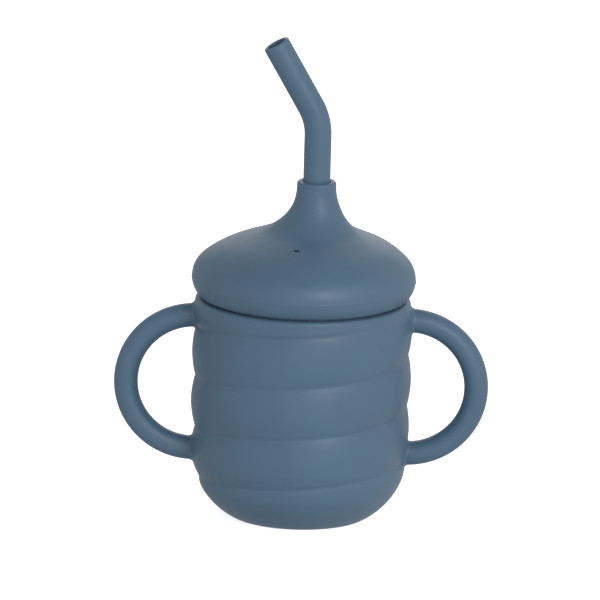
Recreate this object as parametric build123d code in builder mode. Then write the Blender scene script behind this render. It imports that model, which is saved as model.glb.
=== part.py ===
from build123d import *
import math
import os

# Soft silicone training cup: a banded cup with two ring handles moulded in one with it,
# a domed lid whose neck stands to one side, and a bent drinking straw through the neck.
# Millimetres. +Z is up, the origin is the centre of the foot, -Y is the front, and the
# handles lie along X.

os.makedirs("parts", exist_ok=True)

# Cup wall
crest_radius = 35.05
taper_top = 37.0
taper = 0.45
foot_rounding = 23.6
foot_rounding_centre = (11.0, 21.1)

# Bands: one groove winds up the wall as a right-handed helix, and dies out at both ends
band_pitch = 16.6
groove_depth = 1.05
groove_start = 3.5
groove_turns = 4.1
groove_half_width = 6.5
groove_points = 5
groove_flank = (1.35, 8.1)
groove_fade = [(-0.55, 12.0), (-0.55, 61.0), (1.35, 69.5)]

# Rim: a rounded shoulder, then a thin spigot that the lid slips over
shoulder_height = 71.3
shoulder_radius = 33.22
shoulder_middle = (34.55, 69.5)
shoulder_start = (35.0, 67.4)
spigot_radius = 32.2
spigot_inner_radius = 30.4
spigot_top = 78.5
spigot_rounding = 0.6

# How far a cutter runs past the faces it opens
cut_margin = 1.0

# Inside of the cup
floor_thickness = 3.0
cavity_radius = 31.8
cavity_narrows = (66.0, 69.5)
foot_recess_radius = 18.0
foot_recess_depth = 0.6

# Handles: half rings in the XZ plane
handle_tube_radius = 3.83
handle_ring_radius = 21.8
handle_centre_x = 34.1
handle_height = 42.6
handle_root_x = 28.0

# Straw
straw_radius = 8.65 / 2
straw_bore_radius = 6.3 / 2
straw_x = 3.3
straw_bottom = 7.5
straw_bend_height = 129.5
straw_bend_radius = 19.0
straw_bend_angle = 30.0
straw_mouth_length = 28.3
straw_lip_rounding = 0.45
straw_slant = 25.0

# Lid
lid_radius = 35.85
lid_equator = 77.6
skirt_bottom_radius = 33.6
rim_clearance = 0.3
rim_ceiling_gap = 0.1
seal_ring_thickness = 1.5
seal_ring_bottom = 73.2
lid_shift_starts = 81.0
lid_shift_ends = 102.5
neck_radius = 6.4
neck_top = 109.4
neck_rounding = 16.5
neck_bore_clearance = 0.05
neck_lip_rounding = 0.8
bore_chamfer = 0.4
bore_overlap = 0.15
hollow_corner_height = 82.1
hollow_corner_arc = 3.0
hollow_corner_turn = 52.0
hollow_top_arc = 30.9
hollow_mouth_rounding = 9.0
dome_slope = 21.5
dome_equator_arcs = (7.8, 8.5)
dome_top_arc = 32.9
dome_equator_turn = 49.0
dome_cone_length = 7.04
degrees_per_ring = 12.0
vent_length = 1.9
vent_width = 0.85
vent_depth = 5.0
vent_rise = 30.0
vent_place = (-2.6, -19.6, 91.1)


def smooth_step(value, low, high):
    """0 below low, 1 above high, and an S-shaped blend between."""
    t = min(max((value - low) / (high - low), 0.0), 1.0)
    return t * t * (3.0 - 2.0 * t)


def foot_arc_radius(height, rounding):
    """Radius at a height on the rounding that joins the foot to the wall, or on one inside it."""
    centre_radius, centre_height = foot_rounding_centre
    return centre_radius + math.sqrt(rounding**2 - (centre_height - height) ** 2)


def tangent_chain(start, heading, steps):
    """Points along arcs and straight lines that join smoothly.

    Each step is (radius, turn in degrees), turning left when positive, or (None, length).
    """
    heading = math.radians(heading)
    points = [start]
    for radius, amount in steps:
        pieces = 2 if radius is None else math.ceil(abs(amount) / degrees_per_ring)
        turn = 0.0 if radius is None else math.radians(amount / pieces)
        chord = amount / pieces if radius is None else 2.0 * radius * math.sin(abs(turn) / 2.0)
        for _ in range(pieces):
            middle = heading + turn / 2.0
            heading += turn
            last = points[-1]
            points.append((last[0] + chord * math.cos(middle), last[1] + chord * math.sin(middle)))
    return points


def neck_shift(height):
    """How far the lid's centre has moved from the cup's axis towards the neck's."""
    return straw_x * smooth_step(height, lid_shift_starts, lid_shift_ends)


# ---- cup -------------------------------------------------------------------------------

# a height that cutters reach, clear of the cup
well_above = 2.0 * spigot_top

wall_foot_radius = crest_radius - taper
foot_radius = foot_arc_radius(0, foot_rounding)
inner_rounding = cavity_radius - foot_rounding_centre[0]
floor_edge = foot_arc_radius(floor_thickness, inner_rounding)

groove_radius = crest_radius - groove_depth
cutter_depth = 2.0 * groove_flank[0]
flank = []
for point in range(groove_points):
    across = groove_half_width * point / (groove_points - 1)
    bulge = 1.0 - (1.0 - 2.0 * across / band_pitch) ** 2
    flank.append((groove_depth * bulge, across))

# the cutter: the space between two neighbouring bands, swept up the wall
with BuildPart() as groove:
    with BuildLine() as winding:
        Helix(band_pitch, band_pitch * groove_turns, groove_radius, center=(0, 0, groove_start))
    with BuildSketch(Plane(winding.line @ 0, x_dir=(1, 0, 0), z_dir=winding.line % 0)):
        with BuildLine():
            Spline(flank)
            Polyline(flank[-1], groove_flank, (cutter_depth, groove_flank[1]), (cutter_depth, 0))
            mirror(about=Plane.XZ)
        make_face()
    sweep(is_frenet=True)
    # the middle, which keeps the groove from reaching the foot and the rim
    with BuildSketch(Plane.XZ):
        with BuildLine():
            fade = [(groove_radius + rise, height) for rise, height in groove_fade]
            beyond = crest_radius + cutter_depth
            Polyline(
                (0, -band_pitch),
                (beyond + band_pitch, -band_pitch),
                *fade,
                (beyond, fade[-1][1]),
                (beyond, well_above),
                (0, well_above),
                (0, -band_pitch),
            )
        make_face()
    revolve(axis=Axis.Z, mode=Mode.SUBTRACT)

# each handle is one bent rod, whose ends run straight into the wall
handles = []
for side in (1, -1):
    handle_top = handle_height + handle_ring_radius
    with BuildPart() as bent_rod:
        with BuildLine(Plane.XZ) as ring:
            Line((side * handle_root_x, handle_top), (side * handle_centre_x, handle_top))
            ThreePointArc(
                (side * handle_centre_x, handle_top),
                (side * (handle_centre_x + handle_ring_radius), handle_height),
                (side * handle_centre_x, handle_height - handle_ring_radius),
            )
            Line(ring.line @ 1, (side * handle_root_x, handle_height - handle_ring_radius))
        with BuildSketch(Plane((side * handle_root_x, 0, handle_top), z_dir=(side, 0, 0))):
            Circle(handle_tube_radius)
        sweep()
    handles.append(bent_rod.part)

with BuildPart() as cup:
    with BuildSketch(Plane.XZ):
        with BuildLine():
            Line((0, 0), (foot_radius, 0))
            RadiusArc((foot_radius, 0), (wall_foot_radius, foot_rounding_centre[1]), -foot_rounding)
            Polyline((wall_foot_radius, foot_rounding_centre[1]), (crest_radius, taper_top), shoulder_start)
            ThreePointArc(shoulder_start, shoulder_middle, (shoulder_radius, shoulder_height))
            Polyline(
                (shoulder_radius, shoulder_height),
                (spigot_radius, shoulder_height),
                (spigot_radius, spigot_top - spigot_rounding),
                (spigot_radius - spigot_rounding, spigot_top),
                (0, spigot_top),
                (0, 0),
            )
        make_face()
    revolve(axis=Axis.Z)
    add(groove.part, mode=Mode.SUBTRACT)

    for handle in handles:
        add(handle)

    # the inside, which follows the outside's rounding at the floor
    with BuildSketch(Plane.XZ):
        with BuildLine():
            Line((0, floor_thickness), (floor_edge, floor_thickness))
            RadiusArc(
                (floor_edge, floor_thickness),
                (cavity_radius, foot_rounding_centre[1]),
                -inner_rounding,
            )
            Polyline(
                (cavity_radius, foot_rounding_centre[1]),
                (cavity_radius, cavity_narrows[0]),
                (spigot_inner_radius, cavity_narrows[1]),
                (spigot_inner_radius, well_above),
                (0, well_above),
                (0, floor_thickness),
            )
        make_face()
    revolve(axis=Axis.Z, mode=Mode.SUBTRACT)

    with BuildSketch(Plane.XY):
        Circle(foot_recess_radius)
    extrude(amount=foot_recess_depth, mode=Mode.SUBTRACT)

cup.part.label = "cup"
export_step(cup.part, "parts/cup.step")


# ---- lid -------------------------------------------------------------------------------

skirt_turn = math.degrees(math.acos(1.0 - (lid_radius - skirt_bottom_radius) / dome_equator_arcs[0]))
skirt_bottom = lid_equator - dome_equator_arcs[0] * math.sin(math.radians(skirt_turn))
dome_outline = tangent_chain(
    (skirt_bottom_radius, skirt_bottom),
    90.0 - skirt_turn,
    [
        (dome_equator_arcs[0], skirt_turn),
        (dome_equator_arcs[1], dome_equator_turn),
        (dome_top_arc, 90.0 - dome_slope - dome_equator_turn),
        (None, dome_cone_length),
        (neck_rounding, dome_slope - 90.0),
    ],
)

# the hollow: up the inside of the seal ring, then under the dome, then into the neck's bore
bore_radius = straw_radius + neck_bore_clearance
ring_outer_radius = spigot_inner_radius - rim_clearance
ring_inner_radius = ring_outer_radius - seal_ring_thickness
hollow_arcs = [
    (hollow_corner_arc, hollow_corner_turn),
    (hollow_top_arc, 90.0 - dome_slope - hollow_corner_turn),
]
cone_start_radius = tangent_chain((ring_inner_radius, hollow_corner_height), 90.0, hollow_arcs)[-1][0]
mouth_run = hollow_mouth_rounding * (1.0 - math.sin(math.radians(dome_slope)))
cone_run = cone_start_radius - mouth_run - (bore_radius - bore_overlap)
hollow_outline = tangent_chain(
    (ring_inner_radius, skirt_bottom - cut_margin),
    90.0,
    [
        (None, hollow_corner_height - skirt_bottom + cut_margin),
        *hollow_arcs,
        (None, cone_run / math.cos(math.radians(dome_slope))),
        (hollow_mouth_rounding, dome_slope - 90.0),
    ],
)

with BuildPart() as lid:
    for radius, height in dome_outline:
        with BuildSketch(Plane((neck_shift(height), 0, height))):
            Circle(radius)
    loft()
    with BuildSketch(Plane((straw_x, 0, dome_outline[-1][1]))):
        Circle(dome_outline[-1][0])
    extrude(amount=neck_top - dome_outline[-1][1])
    fillet(lid.edges().group_by(Axis.Z)[-1], radius=neck_lip_rounding)

    # the hollow under the dome, and the straw's bore up the neck
    for radius, height in hollow_outline:
        with BuildSketch(Plane((neck_shift(height), 0, height))):
            Circle(radius)
    loft(mode=Mode.SUBTRACT)
    with BuildSketch(Plane((straw_x, 0, hollow_outline[-4][1]))):
        Circle(bore_radius)
    extrude(amount=neck_top, mode=Mode.SUBTRACT)
    chamfer(lid.edges().group_by(Axis.Z)[-1].sort_by(SortBy.LENGTH)[0], length=bore_chamfer)

    # the channel for the cup's rim, with the seal ring standing inside it
    with BuildSketch(Plane.XY.offset(skirt_bottom)):
        Circle(spigot_radius + rim_clearance)
        Circle(ring_outer_radius, mode=Mode.SUBTRACT)
    extrude(amount=spigot_top + rim_ceiling_gap - skirt_bottom, mode=Mode.SUBTRACT)
    with BuildSketch(Plane.XY.offset(skirt_bottom)):
        Circle(spigot_radius)
    extrude(amount=seal_ring_bottom - skirt_bottom, mode=Mode.SUBTRACT)

    # the air vent, a small slit that runs down into the dome on a slant
    vent_bearing = math.atan2(vent_place[1], vent_place[0])
    outward = Vector(math.cos(vent_bearing), math.sin(vent_bearing), 0)
    rise = math.radians(vent_rise)
    vent_run = outward * math.cos(rise) + Vector(0, 0, math.sin(rise))
    with BuildSketch(Plane(vent_place, x_dir=outward.cross(Vector(0, 0, 1)), z_dir=vent_run)):
        SlotOverall(vent_length, vent_width)
    extrude(amount=vent_depth, both=True, mode=Mode.SUBTRACT)

lid.part.label = "lid"
export_step(lid.part, "parts/lid.step")


# ---- straw -----------------------------------------------------------------------------

bend = math.radians(straw_bend_angle)
mouth = (
    straw_x - straw_mouth_length * math.sin(bend),
    straw_bend_height + straw_mouth_length * math.cos(bend),
)

with BuildPart() as straw:
    with BuildLine(Plane.XZ) as route:
        FilletPolyline(
            (straw_x, straw_bottom),
            (straw_x, straw_bend_height),
            mouth,
            radius=straw_bend_radius,
        )
    with BuildSketch(Plane(route.line @ 0, z_dir=route.line % 0)):
        Circle(straw_radius)
        Circle(straw_bore_radius, mode=Mode.SUBTRACT)
    sweep()
    fillet(straw.edges().group_by(Axis.Z)[-2:], radius=straw_lip_rounding)

    # the lower end is cut on a slant, so that it can't seal against the floor
    slant_rise = 2.0 * straw_radius * math.tan(math.radians(straw_slant))
    with BuildSketch(Plane.XZ):
        with BuildLine():
            Polyline(
                (straw_x - straw_radius, straw_bottom - cut_margin),
                (straw_x + straw_radius, straw_bottom - cut_margin),
                (straw_x + straw_radius, straw_bottom + slant_rise),
                (straw_x - straw_radius, straw_bottom),
                (straw_x - straw_radius, straw_bottom - cut_margin),
            )
        make_face()
    extrude(amount=2.0 * straw_radius, both=True, mode=Mode.SUBTRACT)

straw.part.label = "straw"
export_step(straw.part, "parts/straw.step")
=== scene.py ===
import math

import bmesh
import bpy
import numpy as np
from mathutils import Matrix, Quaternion, Vector


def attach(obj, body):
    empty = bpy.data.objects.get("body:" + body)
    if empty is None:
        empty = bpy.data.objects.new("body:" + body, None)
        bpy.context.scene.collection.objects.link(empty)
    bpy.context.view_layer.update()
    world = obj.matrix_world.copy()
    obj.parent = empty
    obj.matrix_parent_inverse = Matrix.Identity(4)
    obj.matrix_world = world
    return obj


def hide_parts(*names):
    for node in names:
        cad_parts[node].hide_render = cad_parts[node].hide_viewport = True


# Looks for a soft silicone training cup: a banded cup with two ring handles moulded in one
# with it, a domed lid whose neck stands to one side, and a bent straw through the neck.
# Outlines are in millimetres, as in the CAD, and turn into metres when a mesh is made.
# +Z is up, -Y is the front, and angles round the cup start at the front and go towards +X.

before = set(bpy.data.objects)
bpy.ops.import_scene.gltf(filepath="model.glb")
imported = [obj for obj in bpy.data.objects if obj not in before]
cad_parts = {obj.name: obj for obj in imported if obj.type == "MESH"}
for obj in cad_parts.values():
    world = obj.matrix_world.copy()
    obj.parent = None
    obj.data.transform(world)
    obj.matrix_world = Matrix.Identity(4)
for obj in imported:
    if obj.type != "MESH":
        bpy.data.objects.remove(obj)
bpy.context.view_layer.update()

METRES = 0.001

# Cup wall
CREST_RADIUS = 35.05
WALL_TAPER = 0.45
TAPER_TOP = 37.0
FOOT_ROUNDING = 23.6
FOOT_CENTRE = (11.0, 21.1)
FOOT_EDGE_ROUNDING = 0.7
FOOT_RECESS_RADIUS = 18.0
FOOT_RECESS_DEPTH = 0.6
FOOT_RECESS_SIDE = 0.5
FOOT_RECESS_LIP = (0.2, 0.15)

# Bands: one groove winds up the wall as a right-handed helix, with a fine crease along its bottom
BAND_PITCH = 16.6
GROOVE_DEPTH = 1.05
CREASE_DEPTH = 0.14
CREASE_HALF_WIDTH = 1.4
CREASE_ROUNDING = 0.3
GROOVE_FRONT_HEIGHT = 65.7
GROOVE_FADES_IN = (7.0, 14.5)
GROOVE_FADES_OUT = (64.5, 71.5)
TURNS_BELOW_FRONT = 4
TURNS_ABOVE_FRONT = 1

# Rim: a shoulder, then a thin spigot with an undercut at its foot
SHOULDER_START = 66.6
SHOULDER_ROUNDING = 4.0
SHOULDER_SLOPE = 12.0
SHOULDER_EDGE_ROUNDING = 1.6
SHOULDER_TOP = 71.3
SPIGOT_RADIUS = 32.2
SPIGOT_FOOT_RADIUS = 31.75
SPIGOT_FOOT_ROUNDING = 0.3
SPIGOT_UNDERCUT = (1.1, 1.6)
SPIGOT_INNER_RADIUS = 30.4
SPIGOT_TOP = 78.5
SPIGOT_LIP = 0.55

# Inside of the cup
FLOOR_HEIGHT = 3.0
CAVITY_RADIUS = 31.8
CAVITY_NARROWS = (66.0, 69.5)

# Handles
TUBE_RADIUS = 3.83
RING_RADIUS = 21.8
RING_CENTRE_X = 34.1
RING_HEIGHT = 42.6
ROOT_FILLET = 1.3
ROOT_DEPTH = 1.0
ROOT_OVERLAP = 0.01
ROOT_SEARCH = 5.0

# Lid
LID_RADIUS = 35.75
LID_EQUATOR = 77.6
SKIRT_RADIUS = 33.6
SKIRT_EDGE = (0.15, 0.2)
EQUATOR_ARCS = (7.8, 8.5)
EQUATOR_TURN = 49.0
DOME_ARC = 32.9
DOME_SLOPE = 21.5
DOME_CONE = 7.04
NECK_ROUNDING = 16.5
NECK_TOP = 109.4
NECK_LIP = 0.85
NECK_MOUTH_ROUNDING = 0.4
SHIFT_HEIGHTS = (81.0, 102.5)
RIM_CLEARANCE = 0.3
CHANNEL_TOP = 78.6
SEAL_RING_THICKNESS = 1.5
SEAL_RING_BOTTOM = 73.2
HOLLOW_CORNER_HEIGHT = 82.1
HOLLOW_CORNER_ARC = 3.0
HOLLOW_CORNER_TURN = 52.0
HOLLOW_ARC = 30.9
HOLLOW_MOUTH = 9.0
BORE_CLEARANCE = 0.05

# The moulding's parting line: its height on the lid, how far it stands out, the spacing of its
# points, and its shape as (spacings from the middle, share of the full height)
PARTING_HEIGHT = 77.1
PARTING_RISE = 0.1
PARTING_SPACING = 0.2
PARTING_SHAPE = ((-2, 0.0), (-1, 0.45), (0, 1.0), (1, 0.45), (2, 0.0))
PARTING_MARGIN = 0.1

# Air vent: a slit that runs down through the dome on a slant
VENT = (-2.6, -19.6, 91.1)
VENT_LENGTH = 1.9
VENT_WIDTH = 0.85
VENT_DEPTH = 5.0
VENT_RISE = 30.0
VENT_CORNERS = 32

# Straw
STRAW_RADIUS = 4.325
STRAW_BORE = 3.15
STRAW_X = 3.3
STRAW_BOTTOM = 7.5
STRAW_SLANT = 25.0
BEND_HEIGHT = 129.5
BEND_RADIUS = 19.0
BEND_ANGLE = 30.0
MOUTH_LENGTH = 28.3
STRAW_LIP = 0.55
STRAW_END_BEVEL = 0.2

# Mesh spacing
CUP_COLUMNS = 264
WALL_STEP = 0.36
SNAP_ROWS = 7
LID_COLUMNS = 288
DOME_STEP = 0.55
STRAW_COLUMNS = 80
STRAW_STEP = 1.0
STRAW_LIP_STEP = 0.08
HANDLE_COLUMNS = 56
HANDLE_RINGS = 104
FILLET_RINGS = 8
FOOT_EDGE_ROWS = 4
COARSE_STEP = 3.0
STRAIGHT_STEP = 1.5
MEDIUM_STEP = 1.2
HOLLOW_STEP = 1.0
NARROWING_STEP = 0.8
CHANNEL_STEP = 0.6
FINE_STEP = 0.4
TIP_STEP = 0.25
LIP_STEP = 0.12
EDGE_STEP = 0.1
NEARLY = 0.001
HALVINGS = 30
POLE_RADIUS = 2.0
SHARP_ANGLE = 40.0

# Camera, as the object was seen: a long lens from the front, a little above, tipped slightly
VIEW_ELEVATION = 14.0
VIEW_ROLL = 1.53
VIEW_DISTANCE = 8.0
VIEW_WIDTH = 0.1913
VIEW_CENTRE = (-0.00104, 0.0, 0.07015)
SENSOR_WIDTH = 36.0

# Studio: lamps as (name, place, size, power), and a surround that is brightest one way
WHITE = (1.0, 1.0, 1.0, 1.0)
FLOOR_REACH = 6.0
FLOOR_COLOUR = (0.9, 0.9, 0.9, 1.0)
FLOOR_ROUGHNESS = 0.9
FLOOR_GLOW = 0.75
LAMPS = (("key", (0.81, -1.63, 0.83), 0.6, 12.0), ("behind", (0.1, 1.7, 0.8), 1.2, 4.5))
LAMP_TARGET = (0.0, 0.0, 0.08)
SURROUND_BRIGHTEST = (0.4, -0.6, 0.12)
SURROUND_STRENGTHS = (0.56, 1.06)
SURROUND_DIMS_OVERHEAD = 0.36
SURROUND_SEEN = 1.0

# Silicone
SILICONE_COLOUR = (0.060, 0.120, 0.188)
TONE_CHANGE = 0.05
TONE_SCALE = 38.0
ROUGHNESS = 0.46
ROUGHNESS_CHANGE = 0.04
ROUGHNESS_SCALE = 160.0
NOISE_MIDDLE = (0.3, 0.7)
GRAIN_SCALE = 3200.0
GRAIN_HEIGHT = 0.00004
WAVE_SCALE = 110.0
WAVE_HEIGHT = 0.0002
WAVE_STRENGTH = 0.25
SPECULAR_LEVEL = 0.6
SILICONE_IOR = 1.43
SHEEN = 0.03
SHEEN_ROUGHNESS = 0.5


# ---- camera, floor and light -----------------------------------------------------------

def add_object(name, data):
    """A new object in the scene."""
    made = bpy.data.objects.new(name, data)
    bpy.context.scene.collection.objects.link(made)
    return made


def aim(thing, place, target, roll=0.0):
    """Puts a camera or a light at a place, looking at a target, rolled about its own axis."""
    back = Vector(place) - Vector(target)
    thing.location = place
    thing.rotation_mode = "QUATERNION"
    thing.rotation_quaternion = back.to_track_quat("Z", "Y") @ Quaternion((0, 0, 1), roll)


def make_camera():
    data = bpy.data.cameras.new("camera")
    data.sensor_width = SENSOR_WIDTH
    data.lens = SENSOR_WIDTH * VIEW_DISTANCE / VIEW_WIDTH
    camera = add_object("camera", data)
    tilt = math.radians(VIEW_ELEVATION)
    away = Vector((0, -math.cos(tilt), math.sin(tilt))) * VIEW_DISTANCE
    aim(camera, Vector(VIEW_CENTRE) + away, VIEW_CENTRE, math.radians(VIEW_ROLL))
    bpy.context.scene.camera = camera


def add_lamp(name, place, size, power):
    data = bpy.data.lights.new(name, "AREA")
    data.shape = "SQUARE"
    data.size = size
    data.energy = power
    lamp = add_object(name, data)
    lamp.visible_camera = False
    aim(lamp, place, LAMP_TARGET)


def make_surround():
    """A soft surround, brightest at the front right, dimmer overhead and underneath.

    The camera sees it as plain white.
    """
    surround = bpy.data.worlds.new("studio")
    surround.use_nodes = True
    nodes = surround.node_tree.nodes
    links = surround.node_tree.links
    direction = nodes.new("ShaderNodeTexCoord").outputs["Generated"]

    towards = nodes.new("ShaderNodeVectorMath")
    towards.operation = "DOT_PRODUCT"
    towards.inputs[1].default_value = Vector(SURROUND_BRIGHTEST).normalized()
    links.new(direction, towards.inputs[0])
    strength = nodes.new("ShaderNodeMapRange")
    strength.inputs["From Min"].default_value = -1.0
    strength.inputs["To Min"].default_value = SURROUND_STRENGTHS[0]
    strength.inputs["To Max"].default_value = SURROUND_STRENGTHS[1]
    links.new(towards.outputs["Value"], strength.inputs["Value"])

    height = nodes.new("ShaderNodeSeparateXYZ")
    links.new(direction, height.inputs["Vector"])
    squared = nodes.new("ShaderNodeMath")
    squared.operation = "MULTIPLY"
    links.new(height.outputs["Z"], squared.inputs[0])
    links.new(height.outputs["Z"], squared.inputs[1])
    dimmed = nodes.new("ShaderNodeMath")
    dimmed.operation = "MULTIPLY_ADD"
    dimmed.inputs[1].default_value = -SURROUND_DIMS_OVERHEAD
    links.new(squared.outputs["Value"], dimmed.inputs[0])
    links.new(strength.outputs["Result"], dimmed.inputs[2])

    seen = nodes.new("ShaderNodeMix")
    seen.inputs["B"].default_value = SURROUND_SEEN
    links.new(nodes.new("ShaderNodeLightPath").outputs["Is Camera Ray"], seen.inputs["Factor"])
    links.new(dimmed.outputs["Value"], seen.inputs["A"])
    background = nodes["Background"]
    background.inputs["Color"].default_value = WHITE
    links.new(seen.outputs["Result"], background.inputs["Strength"])
    bpy.context.scene.world = surround


def make_floor():
    """A plain pale floor that takes soft shadows and throws no light back up."""
    material = bpy.data.materials.new("floor")
    material.use_nodes = True
    shader = material.node_tree.nodes["Principled BSDF"]
    shader.inputs["Base Color"].default_value = FLOOR_COLOUR
    shader.inputs["Roughness"].default_value = FLOOR_ROUGHNESS
    shader.inputs["Specular IOR Level"].default_value = 0.0
    shader.inputs["Emission Color"].default_value = WHITE
    shader.inputs["Emission Strength"].default_value = FLOOR_GLOW
    sheet = bpy.data.meshes.new("floor")
    corners = [(x * FLOOR_REACH, y * FLOOR_REACH, 0) for x, y in ((-1, -1), (1, -1), (1, 1), (-1, 1))]
    sheet.from_pydata(corners, [], [(0, 1, 2, 3)])
    sheet.materials.append(material)
    floor = add_object("floor", sheet)
    floor.visible_diffuse = False
    floor.visible_glossy = False


def make_studio():
    make_surround()
    make_floor()
    for lamp in LAMPS:
        add_lamp(*lamp)
    bpy.context.scene.view_settings.view_transform = "Standard"


# ---- outlines --------------------------------------------------------------------------

def smooth_step(value, low, high):
    """0 below low, 1 above high, and an S-shaped blend between."""
    t = np.clip((value - low) / (high - low), 0.0, 1.0)
    return t * t * (3.0 - 2.0 * t)


def line(start, end, step):
    """Points from start to end, spaced about a step apart, without the last one."""
    count = max(1, round(math.dist(start, end) / step))
    return [
        (start[0] + (end[0] - start[0]) * k / count, start[1] + (end[1] - start[1]) * k / count)
        for k in range(count)
    ]


def turn(centre, radius, start, end, step):
    """Points along an arc between two angles in degrees, without the last one."""
    count = max(3, round(math.radians(abs(end - start)) * radius / step))
    angles = [math.radians(start + (end - start) * k / count) for k in range(count)]
    return [(centre[0] + radius * math.cos(a), centre[1] + radius * math.sin(a)) for a in angles]


def soft_corner(start, corner, end, count):
    """Points, or rings of points, that round off a corner, without the last one."""
    start, corner, end = (np.asarray(place, float) for place in (start, corner, end))
    shares = [k / count for k in range(count)]
    return [(1 - t) ** 2 * start + 2 * t * (1 - t) * corner + t * t * end for t in shares]


def tangent_chain(start, heading, steps, step):
    """Points along arcs and lines that join smoothly, with the last one.

    Each entry is (radius, turn in degrees), turning left when positive, or (None, length).
    """
    heading = math.radians(heading)
    points = [start]
    for radius, amount in steps:
        length = amount if radius is None else abs(math.radians(amount)) * radius
        pieces = max(2, round(length / step))
        angle = 0.0 if radius is None else math.radians(amount / pieces)
        chord = amount / pieces if radius is None else 2.0 * radius * math.sin(abs(angle) / 2.0)
        for _ in range(pieces):
            middle = heading + angle / 2.0
            heading += angle
            last = points[-1]
            points.append((last[0] + chord * math.cos(middle), last[1] + chord * math.sin(middle)))
    return points


# ---- meshes ----------------------------------------------------------------------------

def grid_quads(rows, columns, closed_rows=False):
    """Quads of a grid whose columns wrap round, as rows of four corner numbers."""
    row, column = np.meshgrid(np.arange(rows if closed_rows else rows - 1), np.arange(columns), indexing="ij")
    this_row = row * columns
    next_row = (row + 1) % rows * columns
    beside = (column + 1) % columns
    corners = (this_row + column, this_row + beside, next_row + beside, next_row + column)
    return np.stack(corners, axis=-1).reshape(-1, 4)


def as_faces(corners):
    """Rows of corner numbers as the plain tuples that a mesh takes."""
    return [tuple(face) for face in corners.tolist()]


def closed_ends(rows, columns):
    """Triangles that close the first and the last ring of a grid, each to a pole of its own."""
    poles = rows * columns
    first = np.arange(columns)
    last = first + poles - columns
    faces = [(int(b), int(a), poles) for a, b in zip(first, np.roll(first, -1))]
    return faces + [(int(a), int(b), poles + 1) for a, b in zip(last, np.roll(last, -1))]


def make_piece(name, points, faces):
    """A smooth-shaded object from points in millimetres, with its sharp edges kept."""
    mesh = bpy.data.meshes.new(name)
    mesh.from_pydata([tuple(p) for p in np.asarray(points) * METRES], [], faces)
    work = bmesh.new()
    work.from_mesh(mesh)
    bmesh.ops.recalc_face_normals(work, faces=work.faces)
    for face in work.faces:
        face.smooth = True
    for edge in work.edges:
        edge.smooth = edge.calc_face_angle(0.0) < math.radians(SHARP_ANGLE)
    work.to_mesh(mesh)
    work.free()
    return add_object(name, mesh)


def angles_round(columns):
    return np.linspace(0.0, 2.0 * math.pi, columns, endpoint=False)


def lay_round(radius, angle, height):
    """Points at a radius, an angle from the front and a height."""
    return np.stack([radius * np.sin(angle), -radius * np.cos(angle), height + 0.0 * angle], axis=-1)


# ---- cup -------------------------------------------------------------------------------

def shoulder_edge_height():
    """How much of the shoulder's height its tight outer edge takes."""
    return SHOULDER_EDGE_ROUNDING * (1.0 - math.sin(math.radians(SHOULDER_SLOPE)))


def shoulder_outline():
    """Points from the wall over the shoulder to the flat top that the spigot stands on."""
    slope = math.radians(SHOULDER_SLOPE)
    rounded = SHOULDER_ROUNDING * math.sin(slope) + shoulder_edge_height()
    cone = (SHOULDER_TOP - SHOULDER_START - rounded) / math.cos(slope)
    steps = [
        (SHOULDER_ROUNDING, SHOULDER_SLOPE),
        (None, cone),
        (SHOULDER_EDGE_ROUNDING, 90.0 - SHOULDER_SLOPE),
    ]
    return np.array(tangent_chain((CREST_RADIUS, SHOULDER_START), 90.0, steps, LIP_STEP))


def crest_radius(height):
    """Radius of the wall over the bands' crests."""
    foot_top = FOOT_CENTRE[1]
    drop = np.clip(foot_top - height, 0.0, None)
    foot = FOOT_CENTRE[0] + np.sqrt(FOOT_ROUNDING**2 - drop**2)
    taper = WALL_TAPER * np.clip(TAPER_TOP - height, 0.0, None) / (TAPER_TOP - foot_top)
    shoulder = shoulder_outline()
    upper = np.interp(height, shoulder[:, 1], shoulder[:, 0])
    return np.where(height < foot_top, foot, np.minimum(CREST_RADIUS - taper, upper))


def groove_cut(angle, height):
    """How deep the wall lies below the crests."""
    across = ((height - GROOVE_FRONT_HEIGHT) / BAND_PITCH - angle / (2.0 * math.pi)) % 1.0
    above_groove = BAND_PITCH * np.where(across < 0.5, across, across - 1.0)
    away = np.hypot(above_groove, CREASE_ROUNDING) - CREASE_ROUNDING
    bulge = (1.0 - 2.0 * away / BAND_PITCH) ** 2
    crease = np.clip(1.0 - away / CREASE_HALF_WIDTH, 0.0, None) ** 2
    fade_out = 1.0 - smooth_step(height - above_groove, *GROOVE_FADES_OUT)
    return (GROOVE_DEPTH * bulge + CREASE_DEPTH * crease) * smooth_step(height, *GROOVE_FADES_IN) * fade_out


def wall_radius(angle, height):
    return crest_radius(height) - groove_cut(angle, height)


def snapped_rows(heights, angle):
    """Rows of the wall bent so that one lies exactly in the groove, and which points are in it."""
    step = heights[1] - heights[0]
    rows = np.repeat(heights[:, None], len(angle), axis=1)
    in_groove = np.zeros(rows.shape, bool)
    for turn_number in range(-TURNS_BELOW_FRONT, TURNS_ABOVE_FRONT + 1):
        groove = GROOVE_FRONT_HEIGHT + BAND_PITCH * (turn_number + angle / (2.0 * math.pi))
        nearest = np.round((groove - heights[0]) / step).astype(int)
        for column, middle in enumerate(nearest):
            spread = min(SNAP_ROWS, middle, len(heights) - 1 - middle)
            if spread < 2:
                continue
            off = groove[column] - heights[middle]
            in_groove[middle, column] = True
            for k in range(1 - spread, spread):
                rows[middle + k, column] += off * (1.0 - abs(k) / spread)
    return rows, in_groove


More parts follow.
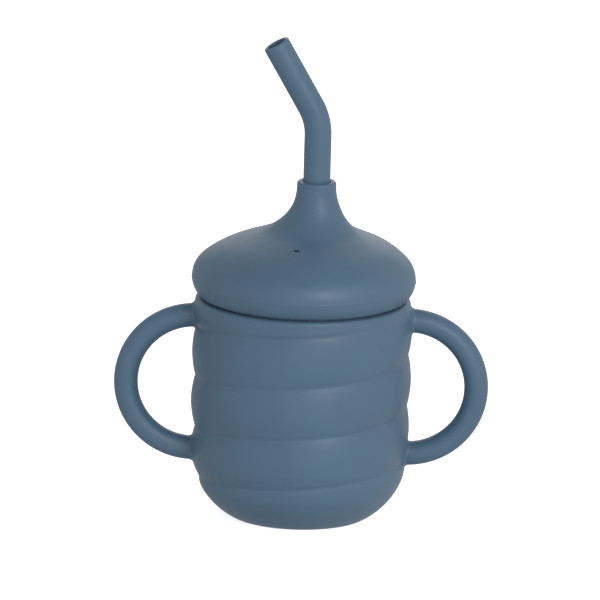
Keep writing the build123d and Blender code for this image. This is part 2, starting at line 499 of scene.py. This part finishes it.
def foot_outline(wall_start):
    """Outside of the foot, from the recess in its middle out and up to the start of the bands."""
    flat_angle = math.degrees(math.asin(FOOT_CENTRE[1] / FOOT_ROUNDING))
    wall_angle = math.degrees(math.asin((FOOT_CENTRE[1] - wall_start) / FOOT_ROUNDING))
    foot_radius = FOOT_CENTRE[0] + FOOT_ROUNDING * math.cos(math.radians(flat_angle))
    recess_corner = (FOOT_RECESS_RADIUS - FOOT_RECESS_SIDE, FOOT_RECESS_DEPTH)
    lip_out, lip_up = FOOT_RECESS_LIP
    flat_end = (foot_radius - FOOT_EDGE_ROUNDING, 0.0)
    side_start = flat_angle - math.degrees(FOOT_EDGE_ROUNDING / FOOT_ROUNDING)
    side = turn(FOOT_CENTRE, FOOT_ROUNDING, -side_start, -wall_angle, WALL_STEP)
    points = line((POLE_RADIUS, FOOT_RECESS_DEPTH), recess_corner, COARSE_STEP)
    points += line(recess_corner, (FOOT_RECESS_RADIUS, lip_up), FINE_STEP)
    points += line((FOOT_RECESS_RADIUS + lip_out, 0.0), flat_end, MEDIUM_STEP)
    points += soft_corner(flat_end, (foot_radius, 0.0), side[0], FOOT_EDGE_ROWS)
    return points + side


def spigot_outline(start):
    """From the shoulder's edge across the undercut, up the spigot and over its lip."""
    foot, rounding, lip = SPIGOT_FOOT_RADIUS, SPIGOT_FOOT_ROUNDING, SPIGOT_LIP
    undercut_top, spigot_start = (SHOULDER_TOP + rise for rise in SPIGOT_UNDERCUT)
    points = line(start, (foot + rounding, SHOULDER_TOP), FINE_STEP)
    points += turn((foot + rounding, SHOULDER_TOP + rounding), rounding, 270, 180, FINE_STEP)
    points += line((foot, SHOULDER_TOP + rounding), (foot, undercut_top), FINE_STEP)
    points += line((foot, undercut_top), (SPIGOT_RADIUS, spigot_start), FINE_STEP)
    points += line((SPIGOT_RADIUS, spigot_start), (SPIGOT_RADIUS, SPIGOT_TOP - lip), MEDIUM_STEP)
    points += turn((SPIGOT_RADIUS - lip, SPIGOT_TOP - lip), lip, 0, 90, LIP_STEP)
    points += turn((SPIGOT_INNER_RADIUS + lip, SPIGOT_TOP - lip), lip, 90, 180, LIP_STEP)
    return points


def inside_outline():
    """Down the inside of the cup, from the spigot's lip to the middle of the floor."""
    top = (SPIGOT_INNER_RADIUS, SPIGOT_TOP - SPIGOT_LIP)
    narrow = (SPIGOT_INNER_RADIUS, CAVITY_NARROWS[1])
    wide = (CAVITY_RADIUS, CAVITY_NARROWS[0])
    rounding = CAVITY_RADIUS - FOOT_CENTRE[0]
    floor_angle = math.degrees(math.asin((FOOT_CENTRE[1] - FLOOR_HEIGHT) / rounding))
    floor_edge = FOOT_CENTRE[0] + rounding * math.cos(math.radians(floor_angle))
    points = line(top, narrow, MEDIUM_STEP) + line(narrow, wide, NARROWING_STEP)
    points += line(wide, (CAVITY_RADIUS, FOOT_CENTRE[1]), COARSE_STEP)
    points += turn(FOOT_CENTRE, rounding, 0, -floor_angle, MEDIUM_STEP)
    points += line((floor_edge, FLOOR_HEIGHT), (POLE_RADIUS, FLOOR_HEIGHT), COARSE_STEP)
    return points + [(POLE_RADIUS, FLOOR_HEIGHT)]


def make_cup_body():
    angle = angles_round(CUP_COLUMNS)
    wall_start = GROOVE_FADES_IN[0]
    edge_start = SHOULDER_TOP - shoulder_edge_height()
    heights = np.arange(wall_start, edge_start - WALL_STEP / 2, WALL_STEP)
    rows, in_groove = snapped_rows(heights, angle)
    *edge, edge_end = [tuple(p) for p in shoulder_outline() if p[1] >= edge_start - NEARLY]
    foot = foot_outline(wall_start)

    rings = [lay_round(radius, angle, height) for radius, height in foot]
    rings += [lay_round(wall_radius(angle, row), angle, row) for row in rows]
    rings += [lay_round(radius - groove_cut(angle, height), angle, height) for radius, height in edge]
    rings += [lay_round(r, angle, z) for r, z in spigot_outline(edge_end) + inside_outline()]

    # quads that the groove crosses are split along it
    quads = grid_quads(len(rings), CUP_COLUMNS)
    marked = np.zeros((len(rings), CUP_COLUMNS), bool)
    marked[len(foot):len(foot) + len(rows)] = in_groove
    marked = marked.reshape(-1)
    climbs = marked[quads[:, 0]] & marked[quads[:, 2]]
    faces = as_faces(quads[~climbs])
    faces += as_faces(quads[climbs][:, [0, 1, 2, 0, 2, 3]].reshape(-1, 3))
    faces += closed_ends(len(rings), CUP_COLUMNS)
    poles = [[[0, 0, FOOT_RECESS_DEPTH]], [[0, 0, FLOOR_HEIGHT]]]
    return np.concatenate(rings + poles), faces


def handle_point(side, along, around):
    """A point on a handle's surface, by the distance along its middle line and the angle round it.

    The middle line comes straight out of the wall, goes round a half ring and straight back in.
    """
    half_ring = math.pi * RING_RADIUS
    bend = np.clip(along, 0.0, half_ring) / RING_RADIUS
    straight = np.minimum(along, 0.0) - np.maximum(along - half_ring, 0.0)
    reach = RING_RADIUS + TUBE_RADIUS * np.cos(around)
    x = RING_CENTRE_X + reach * np.sin(bend) + straight
    z = RING_HEIGHT + reach * np.cos(bend)
    y = TUBE_RADIUS * np.sin(around) + 0.0 * bend
    return np.stack([side * x, y, z], axis=-1)


def outside_wall(points):
    """How far points stand out from the wall."""
    angle = np.arctan2(points[..., 0], -points[..., 1])
    return np.hypot(points[..., 0], points[..., 1]) - wall_radius(angle, points[..., 2])


def onto_wall(points, depth):
    """Points moved straight in or out to a depth under the wall's surface."""
    angle = np.arctan2(points[..., 0], -points[..., 1])
    return lay_round(wall_radius(angle, points[..., 2]) - depth, angle, points[..., 2])


def wall_crossing(side, around, inner, outer):
    """How far along a handle each of its lines comes out of the wall, found by halving."""
    low = np.full(len(around), inner)
    high = np.full(len(around), outer)
    for _ in range(HALVINGS):
        middle = (low + high) / 2.0
        buried = outside_wall(handle_point(side, middle, around)) < 0.0
        low = np.where(buried, middle, low)
        high = np.where(buried, high, middle)
    return (low + high) / 2.0


def handle_root(side, around, end):
    """Rings of a filleted root from under the wall up to the handle, and where they leave it.

    end is 0 for the upper root and 1 for the lower.
    """
    outwards = 1.0 - 2.0 * end
    axis_end = math.pi * RING_RADIUS * end
    crossing = wall_crossing(
        side, around, axis_end - outwards * ROOT_SEARCH, axis_end + outwards * ROOT_SEARCH
    )
    leaves = crossing + ROOT_FILLET * outwards
    corner = handle_point(side, crossing, around)
    on_handle = handle_point(side, leaves, around)

    # straight away from the handle's middle line, along the wall
    axis_height = RING_HEIGHT + RING_RADIUS * outwards
    apart = corner - np.stack([corner[:, 0], 0 * around, 0 * around + axis_height], axis=-1)
    outward = corner * [1, 1, 0] / np.hypot(corner[:, 0], corner[:, 1])[:, None]
    apart -= (apart * outward).sum(axis=1)[:, None] * outward
    apart /= np.linalg.norm(apart, axis=1)[:, None]
    on_wall = onto_wall(corner + ROOT_FILLET * apart, ROOT_OVERLAP)
    return [onto_wall(on_wall, ROOT_DEPTH)] + soft_corner(on_wall, corner, on_handle, FILLET_RINGS), leaves


def make_handle(side):
    around = angles_round(HANDLE_COLUMNS)
    upper, upper_end = handle_root(side, around, 0)
    lower, lower_end = handle_root(side, around, 1)
    shares = np.linspace(0.0, 1.0, HANDLE_RINGS)
    ring = [handle_point(side, upper_end + (lower_end - upper_end) * s, around) for s in shares]
    rings = upper + ring + lower[::-1]
    faces = as_faces(grid_quads(len(rings), HANDLE_COLUMNS)) + closed_ends(len(rings), HANDLE_COLUMNS)
    poles = [[rings[0].mean(axis=0)], [rings[-1].mean(axis=0)]]
    return np.concatenate(rings + poles), faces


def make_cup():
    points, faces = make_cup_body()
    for side in (1, -1):
        handle_points, handle_faces = make_handle(side)
        start = len(points)
        faces += [tuple(corner + start for corner in face) for face in handle_faces]
        points = np.concatenate([points, handle_points])
    return make_piece("cup_moulding", points, faces)


# ---- lid -------------------------------------------------------------------------------

def neck_shift(height):
    """How far the lid's centre has moved from the cup's axis towards the neck's."""
    return STRAW_X * smooth_step(height, *SHIFT_HEIGHTS)


def with_parting_line(dome):
    """The dome's outline with a fine raised line round it, a little below the widest place."""
    centre = LID_RADIUS - EQUATOR_ARCS[0]
    ridge = []
    for across, share in PARTING_SHAPE:
        height = PARTING_HEIGHT + PARTING_SPACING * across
        radius = centre + math.sqrt(EQUATOR_ARCS[0] ** 2 - (LID_EQUATOR - height) ** 2)
        ridge.append((radius + PARTING_RISE * share, height))
    below = [p for p in dome if p[1] < ridge[0][1] - PARTING_MARGIN]
    above = [p for p in dome if p[1] > ridge[-1][1] + PARTING_MARGIN]
    return below + ridge + above


def lid_outside(skirt_bottom, skirt_turn, bore):
    """The lid's outline from the bottom of the skirt over the dome to the mouth of the neck."""
    steps = [
        (EQUATOR_ARCS[0], skirt_turn),
        (EQUATOR_ARCS[1], EQUATOR_TURN),
        (DOME_ARC, 90.0 - DOME_SLOPE - EQUATOR_TURN),
        (None, DOME_CONE),
        (NECK_ROUNDING, DOME_SLOPE - 90.0),
    ]
    dome = tangent_chain((SKIRT_RADIUS, skirt_bottom), 90.0 - skirt_turn, steps, DOME_STEP)
    neck_radius = dome[-1][0]
    mouth = NECK_MOUTH_ROUNDING
    outline = with_parting_line(dome)
    outline += line(dome[-1], (neck_radius, NECK_TOP - NECK_LIP), DOME_STEP)[1:]
    outline += turn((neck_radius - NECK_LIP, NECK_TOP - NECK_LIP), NECK_LIP, 0, 90, LIP_STEP)
    outline += turn((bore + mouth, NECK_TOP - mouth), mouth, 90, 180, EDGE_STEP)
    return outline


def lid_hollow(ring_inner, bore):
    """The outline of the hollow, from the seal ring up under the dome to the straw's bore."""
    start = (ring_inner, HOLLOW_CORNER_HEIGHT)
    arcs = [
        (HOLLOW_CORNER_ARC, HOLLOW_CORNER_TURN),
        (HOLLOW_ARC, 90.0 - DOME_SLOPE - HOLLOW_CORNER_TURN),
    ]
    slope = math.radians(DOME_SLOPE)
    cone_start = tangent_chain(start, 90.0, arcs, HOLLOW_STEP)[-1][0]
    cone_run = cone_start - HOLLOW_MOUTH * (1.0 - math.sin(slope)) - bore
    steps = arcs + [(None, cone_run / math.cos(slope)), (HOLLOW_MOUTH, DOME_SLOPE - 90.0)]
    return tangent_chain(start, 90.0, steps, HOLLOW_STEP)


def lid_outline():
    """The lid's closed outline, over the outside and back underneath."""
    skirt_turn = math.degrees(math.acos(1.0 - (LID_RADIUS - SKIRT_RADIUS) / EQUATOR_ARCS[0]))
    skirt_bottom = LID_EQUATOR - EQUATOR_ARCS[0] * math.sin(math.radians(skirt_turn))
    bore = STRAW_RADIUS + BORE_CLEARANCE
    outline = lid_outside(skirt_bottom, skirt_turn, bore)

    # down the bore, under the dome and down the seal ring's inside
    ring_outer = SPIGOT_INNER_RADIUS - RIM_CLEARANCE
    ring_inner = ring_outer - SEAL_RING_THICKNESS
    tip = SEAL_RING_THICKNESS / 2.0
    tip_height = SEAL_RING_BOTTOM + tip
    hollow = lid_hollow(ring_inner, bore)
    outline += line((bore, NECK_TOP - NECK_MOUTH_ROUNDING), (bore, hollow[-1][1]), STRAIGHT_STEP)
    outline += hollow[::-1]
    outline += line(hollow[0], (ring_inner, tip_height), STRAIGHT_STEP)[1:]

    # round the seal ring's tip, up into the channel for the cup's rim, and out at the skirt
    channel = SPIGOT_RADIUS + RIM_CLEARANCE
    edge_in, edge_rounding = SKIRT_EDGE
    edge_height = skirt_bottom + edge_rounding
    outline += turn((ring_inner + tip, tip_height), tip, 180, 360, TIP_STEP)
    outline += line((ring_outer, tip_height), (ring_outer, CHANNEL_TOP), STRAIGHT_STEP)
    outline += line((ring_outer, CHANNEL_TOP), (channel, CHANNEL_TOP), CHANNEL_STEP)
    outline += line((channel, CHANNEL_TOP), (channel, edge_height), STRAIGHT_STEP)
    outline += turn((channel + edge_rounding, edge_height), edge_rounding, 180, 270, EDGE_STEP)
    outline.append((SKIRT_RADIUS - edge_in, skirt_bottom))
    return outline


def cut_vent(lid):
    """Cuts the air vent, a small slit that runs down into the dome on a slant."""
    bearing = math.atan2(VENT[1], VENT[0])
    rise = math.radians(VENT_RISE)
    flat_out = Vector((math.cos(bearing), math.sin(bearing), 0.0))
    run = flat_out * math.cos(rise) + Vector((0.0, 0.0, math.sin(rise)))
    across = flat_out.cross(Vector((0.0, 0.0, 1.0)))
    up = run.cross(across)
    half_run = (VENT_LENGTH - VENT_WIDTH) / 2.0
    half_width = VENT_WIDTH / 2.0
    ring = []
    for k in range(VENT_CORNERS):
        angle = 2.0 * math.pi * (k + 0.5) / VENT_CORNERS
        sideways = math.copysign(half_run, math.cos(angle)) + half_width * math.cos(angle)
        ring.append(across * sideways + up * (half_width * math.sin(angle)))
    points = [Vector(VENT) + p + run * depth for depth in (-VENT_DEPTH, VENT_DEPTH) for p in ring]
    ends = [tuple(range(VENT_CORNERS - 1, -1, -1)), tuple(range(VENT_CORNERS, 2 * VENT_CORNERS))]
    cutter = make_piece("vent_cutter", points, as_faces(grid_quads(2, VENT_CORNERS)) + ends)
    cut = lid.modifiers.new("vent", "BOOLEAN")
    cut.object = cutter
    cut.operation = "DIFFERENCE"
    cut.solver = "EXACT"
    shape = bpy.data.meshes.new_from_object(lid.evaluated_get(bpy.context.evaluated_depsgraph_get()))
    lid.modifiers.clear()
    lid.data = shape
    bpy.data.objects.remove(cutter)


def make_lid():
    angle = angles_round(LID_COLUMNS)
    rings = []
    for radius, height in lid_outline():
        ring = lay_round(radius, angle, height)
        ring[:, 0] += neck_shift(height)
        rings.append(ring)
    faces = as_faces(grid_quads(len(rings), LID_COLUMNS, closed_rows=True))
    lid = make_piece("lid_moulding", np.concatenate(rings), faces)
    cut_vent(lid)
    return lid


# ---- straw -----------------------------------------------------------------------------

def straw_point(along, radius, around):
    """A point on the straw, by the height or distance along its middle line."""
    bend = math.radians(BEND_ANGLE)
    start = BEND_HEIGHT - BEND_RADIUS * math.tan(bend / 2.0)
    turned = np.clip((along - start) / BEND_RADIUS, 0.0, bend)
    beyond = np.maximum(along - start - BEND_RADIUS * bend, 0.0)
    sideways = radius * np.cos(around)
    leaned = BEND_RADIUS * (1.0 - np.cos(turned)) + beyond * math.sin(bend)
    risen = BEND_RADIUS * np.sin(turned) + beyond * math.cos(bend)
    x = STRAW_X - leaned + sideways * np.cos(turned)
    z = np.minimum(along, start) + risen + sideways * np.sin(turned)
    return np.stack([x, radius * np.sin(around) + 0.0 * x, z], axis=-1)


def straw_end(radius, around):
    """The slanted lower end, as heights round the straw."""
    return STRAW_BOTTOM + (STRAW_RADIUS + radius * np.cos(around)) * math.tan(math.radians(STRAW_SLANT))


def make_straw():
    around = angles_round(STRAW_COLUMNS)
    bend = math.radians(BEND_ANGLE)
    run_in = BEND_RADIUS * math.tan(bend / 2.0)
    top = BEND_HEIGHT - 2.0 * run_in + BEND_RADIUS * bend + MOUTH_LENGTH
    lip_start = top - STRAW_LIP

    def run(radius, step):
        """Rings from just above the lower end up to the lip, evenly spaced along the way."""
        low = straw_end(radius, around) + STRAW_END_BEVEL
        shares = np.linspace(0.0, 1.0, round((top - STRAW_BOTTOM) / step))
        return [straw_point(low + (lip_start - low) * share, radius, around) for share in shares]

    rings = run(STRAW_RADIUS, STRAW_STEP)
    lip = turn((STRAW_RADIUS - STRAW_LIP, lip_start), STRAW_LIP, 0, 90, STRAW_LIP_STEP)[1:]
    lip += turn((STRAW_BORE + STRAW_LIP, lip_start), STRAW_LIP, 90, 180, STRAW_LIP_STEP)
    rings += [straw_point(height + 0.0 * around, radius, around) for radius, height in lip]
    rings += run(STRAW_BORE, 2.0 * STRAW_STEP)[::-1]
    for radius in (STRAW_BORE + STRAW_END_BEVEL, STRAW_RADIUS - STRAW_END_BEVEL):
        rings.append(straw_point(straw_end(radius, around), radius, around))
    faces = as_faces(grid_quads(len(rings), STRAW_COLUMNS, closed_rows=True))
    return make_piece("straw_tube", np.concatenate(rings), faces)


# ---- silicone --------------------------------------------------------------------------

def silicone(name, grain):
    """Matte moulded silicone: a fine even grain, slow changes of tone, and a soft dusty edge."""
    material = bpy.data.materials.new(name)
    material.use_nodes = True
    nodes = material.node_tree.nodes
    links = material.node_tree.links
    shader = nodes["Principled BSDF"]
    where = nodes.new("ShaderNodeTexCoord").outputs["Object"]

    def noise(scale, detail, mix=0.5):
        texture = nodes.new("ShaderNodeTexNoise")
        texture.inputs["Scale"].default_value = scale
        texture.inputs["Detail"].default_value = detail
        texture.inputs["Roughness"].default_value = mix
        links.new(where, texture.inputs["Vector"])
        return texture.outputs["Fac"]

    def bump(height, strength, distance):
        node = nodes.new("ShaderNodeBump")
        node.inputs["Strength"].default_value = strength
        node.inputs["Distance"].default_value = distance
        links.new(height, node.inputs["Height"])
        return node

    tone = nodes.new("ShaderNodeValToRGB")
    for element, place, change in zip(tone.color_ramp.elements, NOISE_MIDDLE, (-TONE_CHANGE, TONE_CHANGE)):
        element.position = place
        element.color = (*[part * (1.0 + change) for part in SILICONE_COLOUR], 1.0)
    links.new(noise(TONE_SCALE, 3.0), tone.inputs["Fac"])
    links.new(tone.outputs["Color"], shader.inputs["Base Color"])

    patchy = nodes.new("ShaderNodeMapRange")
    patchy.inputs["From Min"].default_value, patchy.inputs["From Max"].default_value = NOISE_MIDDLE
    patchy.inputs["To Min"].default_value = ROUGHNESS - ROUGHNESS_CHANGE
    patchy.inputs["To Max"].default_value = ROUGHNESS + ROUGHNESS_CHANGE
    links.new(noise(ROUGHNESS_SCALE, 4.0), patchy.inputs["Value"])
    links.new(patchy.outputs["Result"], shader.inputs["Roughness"])

    fine = bump(noise(GRAIN_SCALE, 2.0, 0.6), grain, GRAIN_HEIGHT)
    slow = bump(noise(WAVE_SCALE, 2.0), WAVE_STRENGTH, WAVE_HEIGHT)
    links.new(fine.outputs["Normal"], slow.inputs["Normal"])
    links.new(slow.outputs["Normal"], shader.inputs["Normal"])

    shader.inputs["Specular IOR Level"].default_value = SPECULAR_LEVEL
    shader.inputs["IOR"].default_value = SILICONE_IOR
    shader.inputs["Sheen Weight"].default_value = SHEEN
    shader.inputs["Sheen Roughness"].default_value = SHEEN_ROUGHNESS
    return material


# ---- the object ------------------------------------------------------------------------

make_camera()
make_studio()

cup = make_cup()
lid = make_lid()
straw = make_straw()
for piece, body, grain in ((cup, "cup", 0.5), (lid, "lid", 0.5), (straw, "straw", 0.4)):
    piece.data.materials.clear()
    piece.data.materials.append(silicone(f"{body}_silicone", grain))
    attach(piece, body)
    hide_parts(body)
